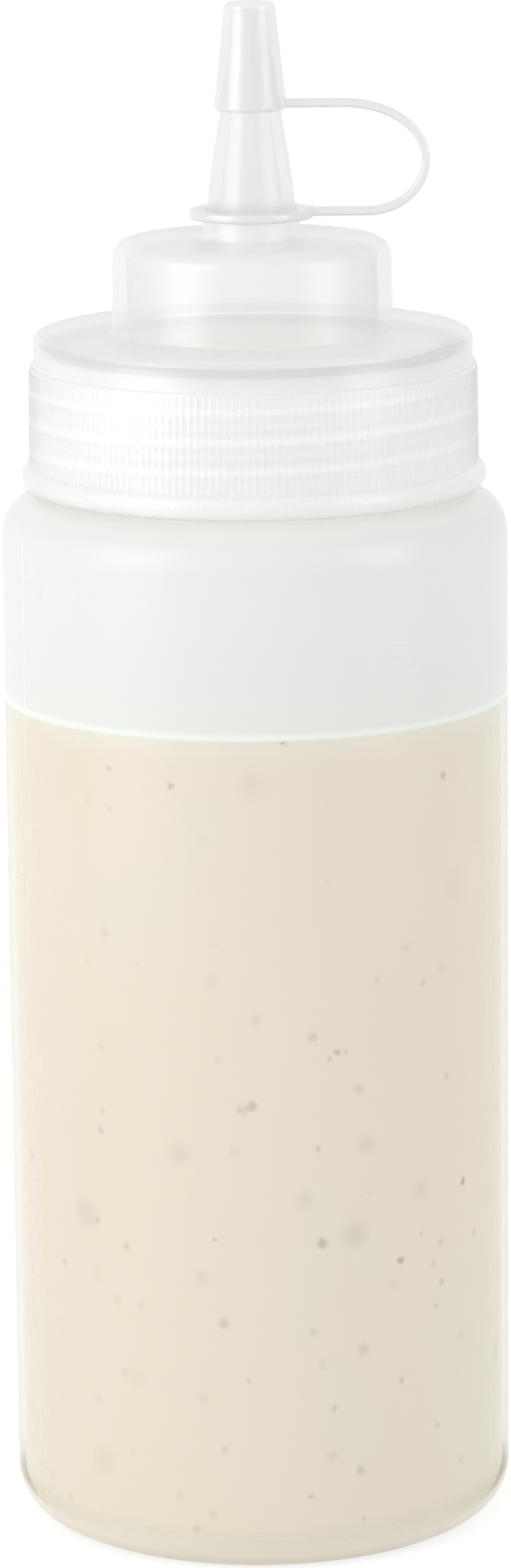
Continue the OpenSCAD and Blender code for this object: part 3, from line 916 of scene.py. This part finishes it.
class SAUCE_OT_stage(bpy.types.Operator):
    """Add the floor, the soft lamps, the white surroundings and the camera"""

    bl_idname = "sauce_bottle.stage"
    bl_label = "Stage"
    bl_options = {"REGISTER", "UNDO"}

    def execute(self, context):
        s = context.scene.sauce_stage
        fresh()
        bpy.ops.mesh.primitive_plane_add(size=FLOOR_SIZE)
        floor = context.object
        floor.name = "studio_floor"
        floor.data.materials.append(self.floor_finish())
        self.surroundings(context, s)
        self.lamp("left_softbox", *LEFT_LAMP, s.left_power)
        self.lamp("right_softbox", *RIGHT_LAMP, s.right_power)
        self.camera(context, s)
        context.scene.view_settings.view_transform = "Standard"
        context.scene.cycles.transparent_max_bounces = CLEAR_SURFACES
        return {"FINISHED"}

    def floor_finish(self):
        """A pale floor that looks white to the camera and keeps the shadow"""
        finish = Finish("studio_floor", Roughness=0.9)
        finish.shader.inputs["Base Color"].default_value = FLOOR_COLOUR
        seen = finish.rays("Camera", "Glossy", "Transmission")
        glow = finish.add_shader("ShaderNodeEmission", seen * 0.5)
        glow.inputs["Strength"].default_value = FLOOR_GLOW
        return finish.material

    def surroundings(self, context, s):
        """A plain world that lights softly and looks white"""
        world = bpy.data.worlds.new("white_studio")
        context.scene.world = world
        world.use_nodes = True
        tree = world.node_tree
        paths = tree.nodes.new("ShaderNodeLightPath")
        sight = tree.nodes["Background"]
        seen = paths.outputs["Is Camera Ray"]
        for kind in ("Is Transmission Ray", "Is Glossy Ray"):
            either = tree.nodes.new("ShaderNodeMath")
            either.operation = "MAXIMUM"
            tree.links.new(seen, either.inputs[0])
            tree.links.new(paths.outputs[kind], either.inputs[1])
            seen = either.outputs[0]
        level = tree.nodes.new("ShaderNodeMapRange")
        level.inputs["To Min"].default_value = s.sky
        level.inputs["To Max"].default_value = 1.0
        tree.links.new(seen, level.inputs["Value"])
        tree.links.new(level.outputs[0], sight.inputs["Strength"])
        sight.inputs["Color"].default_value = (1, 1, 1, 1)

    def lamp(self, name, place, size, power):
        """A rectangular lamp that faces the middle of the bottle"""
        fresh()
        bpy.ops.object.light_add(type="AREA", location=place)
        lamp = bpy.context.object
        lamp.name = name
        lamp.data.shape = "RECTANGLE"
        lamp.data.size, lamp.data.size_y = size
        lamp.data.energy = power
        aim = LAMP_AIM - Vector(place)
        lamp.rotation_euler = aim.to_track_quat("-Z", "Y").to_euler()

    def camera(self, context, s):
        """The camera where the photograph was taken from"""
        fresh()
        bpy.ops.object.camera_add(location=s.camera_place)
        camera = context.object
        camera.name = "photo_camera"
        camera.data.sensor_width = SENSOR_WIDTH
        camera.data.lens = s.lens
        camera.rotation_mode = "QUATERNION"
        level = Vector((0, math.cos(s.camera_pitch), -math.sin(s.camera_pitch)))
        roll = Quaternion((0, 0, 1), -s.camera_roll)
        camera.rotation_quaternion = level.to_track_quat("-Z", "Y") @ roll
        camera.data.clip_start, camera.data.clip_end = SIGHT
        context.scene.camera = camera


class SAUCE_PT_parts(bpy.types.Panel):
    """Lists the operators of the sauce bottle"""

    bl_label = "Sauce Bottle"
    bl_idname = "SAUCE_PT_parts"
    bl_space_type = "VIEW_3D"
    bl_region_type = "UI"
    bl_category = "Sauce Bottle"

    def draw(self, context):
        for operator in OPERATORS:
            self.layout.operator(operator.bl_idname)


GROUPS = {
    "sauce_bottle": SauceBottleSizes,
    "sauce_cap": SauceCapSizes,
    "sauce_colours": SauceBottleColours,
    "sauce_stage": SauceStageSettings,
}
OPERATORS = (
    SAUCE_OT_bottle, SAUCE_OT_sauce, SAUCE_OT_seal, SAUCE_OT_screw_cap, SAUCE_OT_tether, SAUCE_OT_tip_cap,
    SAUCE_OT_stage)
CLASSES = (*GROUPS.values(), *OPERATORS, SAUCE_PT_parts)


def register():
    for kind in CLASSES:
        bpy.utils.register_class(kind)
    for name, group in GROUPS.items():
        setattr(bpy.types.Scene, name, bpy.props.PointerProperty(type=group))


def unregister():
    for name in GROUPS:
        delattr(bpy.types.Scene, name)
    for kind in reversed(CLASSES):
        bpy.utils.unregister_class(kind)


def main():
    register()
    bpy.ops.sauce_bottle.bottle()
    bpy.ops.sauce_bottle.sauce()
    bpy.ops.sauce_bottle.seal()
    bpy.ops.sauce_bottle.screw_cap()
    bpy.ops.sauce_bottle.tether()
    bpy.ops.sauce_bottle.tip_cap()
    bpy.ops.sauce_bottle.stage()
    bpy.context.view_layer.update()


if __name__ == "__main__":
    main()
